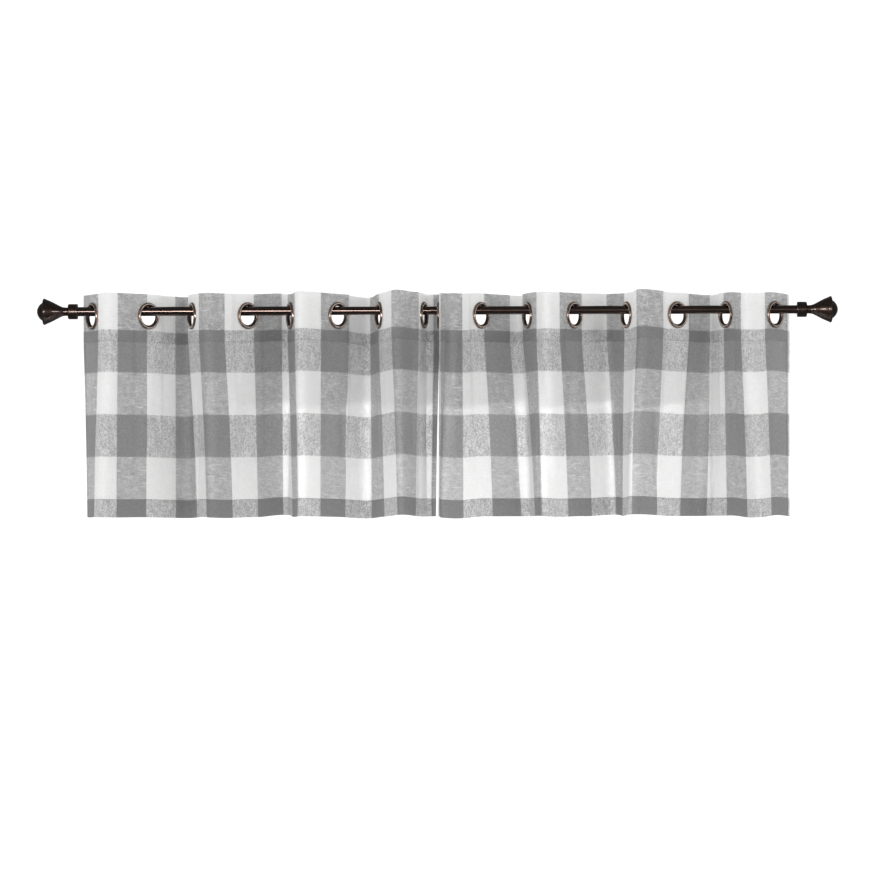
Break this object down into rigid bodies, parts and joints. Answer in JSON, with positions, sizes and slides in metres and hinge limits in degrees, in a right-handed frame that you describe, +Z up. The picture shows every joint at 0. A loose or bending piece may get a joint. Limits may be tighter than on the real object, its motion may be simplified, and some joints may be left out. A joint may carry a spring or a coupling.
{
  "type": "window valance and curtain rod",
  "caption": "Grey and white gingham eyelet valance panels hanging in uneven folds on a telescoping dark bronze curtain rod with flared, domed finials.",
  "frame": {"origin": "on the rod's axis at the middle of its length", "axes": "+X along the rod to the right as seen from the room, -Y towards the room, +Z up"},
  "size_m": [1.6446, 0.2076, 0.4685],
  "materials": {
    "gingham_cloth": "matt woven grey and white check, slightly sheer",
    "eyelet_bronze": "semi-gloss brown bronze plating",
    "rod_bronze": "satin oil-rubbed bronze enamel",
    "finial_bronze": "satin oil-rubbed bronze, slightly mottled"
  },
  "bodies": {
    "root": {"panel_left": "gingham_cloth", "panel_right": "gingham_cloth", "panel_left_eyelet_1_front": "eyelet_bronze", "panel_left_eyelet_1_back": "eyelet_bronze", "panel_left_eyelet_2_front": "eyelet_bronze", "panel_left_eyelet_2_back": "eyelet_bronze", "panel_left_eyelet_3_front": "eyelet_bronze", "panel_left_eyelet_3_back": "eyelet_bronze", "panel_left_eyelet_4_front": "eyelet_bronze", "panel_left_eyelet_4_back": "eyelet_bronze", "panel_left_eyelet_5_front": "eyelet_bronze", "panel_left_eyelet_5_back": "eyelet_bronze", "panel_left_eyelet_6_front": "eyelet_bronze", "panel_left_eyelet_6_back": "eyelet_bronze", "panel_left_eyelet_7_front": "eyelet_bronze", "panel_left_eyelet_7_back": "eyelet_bronze", "panel_left_eyelet_8_front": "eyelet_bronze", "panel_left_eyelet_8_back": "eyelet_bronze", "panel_right_eyelet_1_front": "eyelet_bronze", "panel_right_eyelet_1_back": "eyelet_bronze", "panel_right_eyelet_2_front": "eyelet_bronze", "panel_right_eyelet_2_back": "eyelet_bronze", "panel_right_eyelet_3_front": "eyelet_bronze", "panel_right_eyelet_3_back": "eyelet_bronze", "panel_right_eyelet_4_front": "eyelet_bronze", "panel_right_eyelet_4_back": "eyelet_bronze", "panel_right_eyelet_5_front": "eyelet_bronze", "panel_right_eyelet_5_back": "eyelet_bronze", "panel_right_eyelet_6_front": "eyelet_bronze", "panel_right_eyelet_6_back": "eyelet_bronze", "panel_right_eyelet_7_front": "eyelet_bronze", "panel_right_eyelet_7_back": "eyelet_bronze", "panel_right_eyelet_8_front": "eyelet_bronze", "panel_right_eyelet_8_back": "eyelet_bronze", "rod_outer_tube": "rod_bronze", "rod_inner_tube": "rod_bronze", "collar_left": "finial_bronze", "collar_right": "finial_bronze", "finial_left": "finial_bronze", "finial_right": "finial_bronze"}
  },
  "joints": []
}
